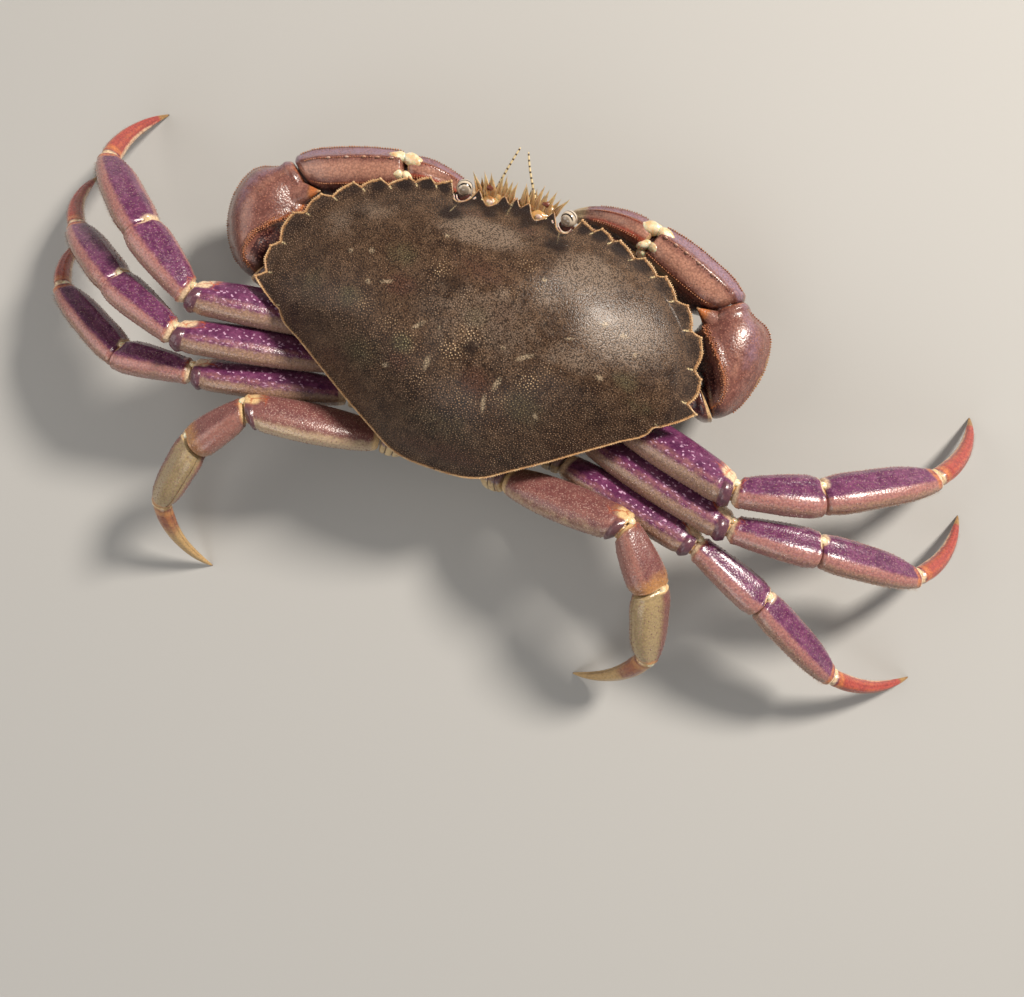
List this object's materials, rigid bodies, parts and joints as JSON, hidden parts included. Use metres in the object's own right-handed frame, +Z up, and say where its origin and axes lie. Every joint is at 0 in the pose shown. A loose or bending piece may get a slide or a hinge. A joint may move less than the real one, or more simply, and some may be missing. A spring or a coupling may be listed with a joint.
{
  "type": "graceful rock crab",
  "caption": "Life-size graceful rock crab, a broad toothed oval shell over folded claws, standing still on its walking legs.",
  "frame": {"origin": "the point on the floor under the middle of the crab's bounding box", "axes": "+X towards the crab's left side, along the spread of its legs, -Y the way the crab faces, +Z up"},
  "size_m": [0.1988, 0.0976, 0.0385],
  "materials": {
    "shell": "wet, finely granular, dark olive brown",
    "claw_shell": "wet, glossy, maroon brown",
    "leg_shell": "glossy deep purple with pale speckles",
    "leg_tip": "orange red horn",
    "belly_shell": "smooth cream",
    "eye_stalk": "smooth",
    "eye": "black, glossy",
    "feeler": "thin, ringed"
  },
  "bodies": {
    "root": {"carapace": "shell", "body": "belly_shell", "tail": "belly_shell", "eye_stalk_left": "eye_stalk", "eye_left": "eye", "antenna_left": "feeler", "mouthpart_left": "belly_shell", "claw_arm_left": "claw_shell", "claw_wrist_left": "claw_shell", "claw_palm_left": "claw_shell", "claw_finger_left": "claw_shell", "eye_stalk_right": "eye_stalk", "eye_right": "eye", "antenna_right": "feeler", "mouthpart_right": "belly_shell", "claw_arm_right": "claw_shell", "claw_wrist_right": "claw_shell", "claw_palm_right": "claw_shell", "claw_finger_right": "claw_shell", "leg1_merus_left": "leg_shell", "leg1_carpus_left": "leg_shell", "leg1_propodus_left": "leg_shell", "leg1_dactyl_left": "leg_tip", "leg1_merus_right": "leg_shell", "leg1_carpus_right": "leg_shell", "leg1_propodus_right": "leg_shell", "leg1_dactyl_right": "leg_tip", "leg2_merus_left": "leg_shell", "leg2_carpus_left": "leg_shell", "leg2_propodus_left": "leg_shell", "leg2_dactyl_left": "leg_tip", "leg2_merus_right": "leg_shell", "leg2_carpus_right": "leg_shell", "leg2_propodus_right": "leg_shell", "leg2_dactyl_right": "leg_tip", "leg3_merus_left": "leg_shell", "leg3_carpus_left": "leg_shell", "leg3_propodus_left": "leg_shell", "leg3_dactyl_left": "leg_tip", "leg3_merus_right": "leg_shell", "leg3_carpus_right": "leg_shell", "leg3_propodus_right": "leg_shell", "leg3_dactyl_right": "leg_tip", "leg4_merus_left": "leg_shell", "leg4_carpus_left": "leg_shell", "leg4_propodus_left": "leg_shell", "leg4_dactyl_left": "leg_tip", "leg4_merus_right": "leg_shell", "leg4_carpus_right": "leg_shell", "leg4_propodus_right": "leg_shell", "leg4_dactyl_right": "leg_tip"}
  },
  "joints": []
}
